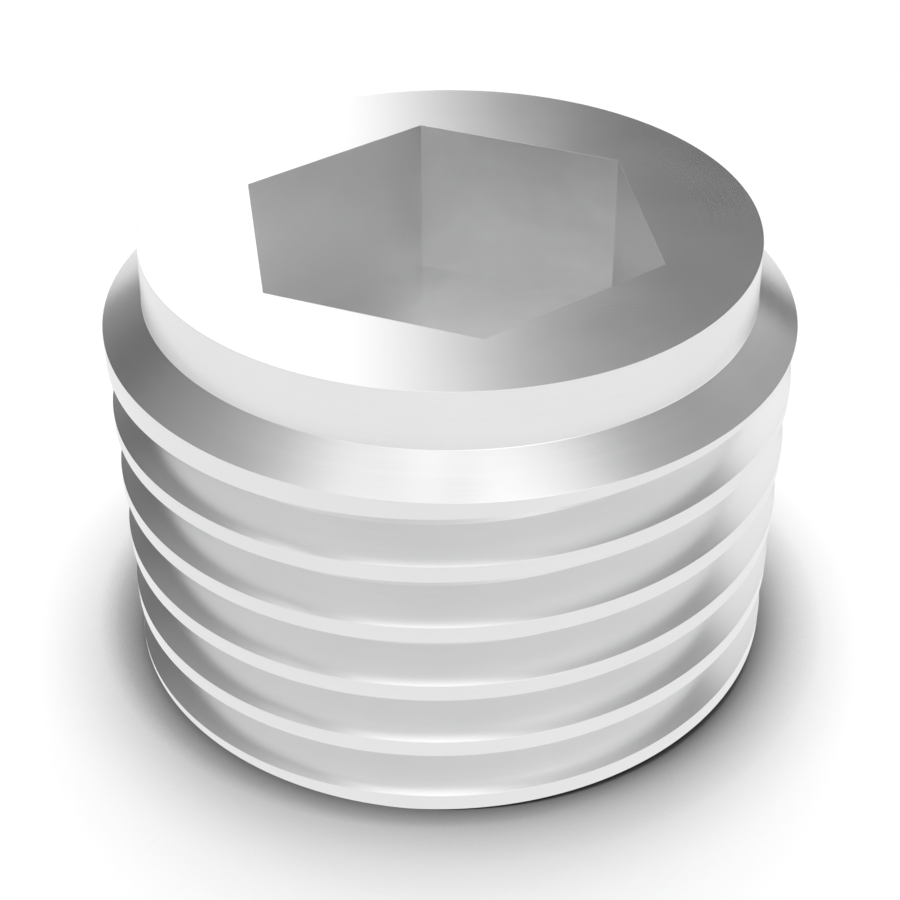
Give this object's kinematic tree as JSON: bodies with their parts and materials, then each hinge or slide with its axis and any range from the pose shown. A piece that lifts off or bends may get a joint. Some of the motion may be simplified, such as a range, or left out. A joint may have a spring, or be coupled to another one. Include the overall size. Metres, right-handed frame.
{
  "type": "hex socket plug",
  "caption": "Taper-threaded pipe plug with a plain round boss at its wide end and a blind hexagon socket for a key.",
  "frame": {"origin": "middle of the flat small end", "axes": "+Z along the plug's axis, out of the socket's mouth; +X square to two of the socket's flats"},
  "size_m": [0.013, 0.013, 0.0087],
  "materials": {
    "bright_steel": "bright plated steel, fine turned grain, satin"
  },
  "bodies": {
    "root": {"plug": "bright_steel"}
  },
  "joints": []
}
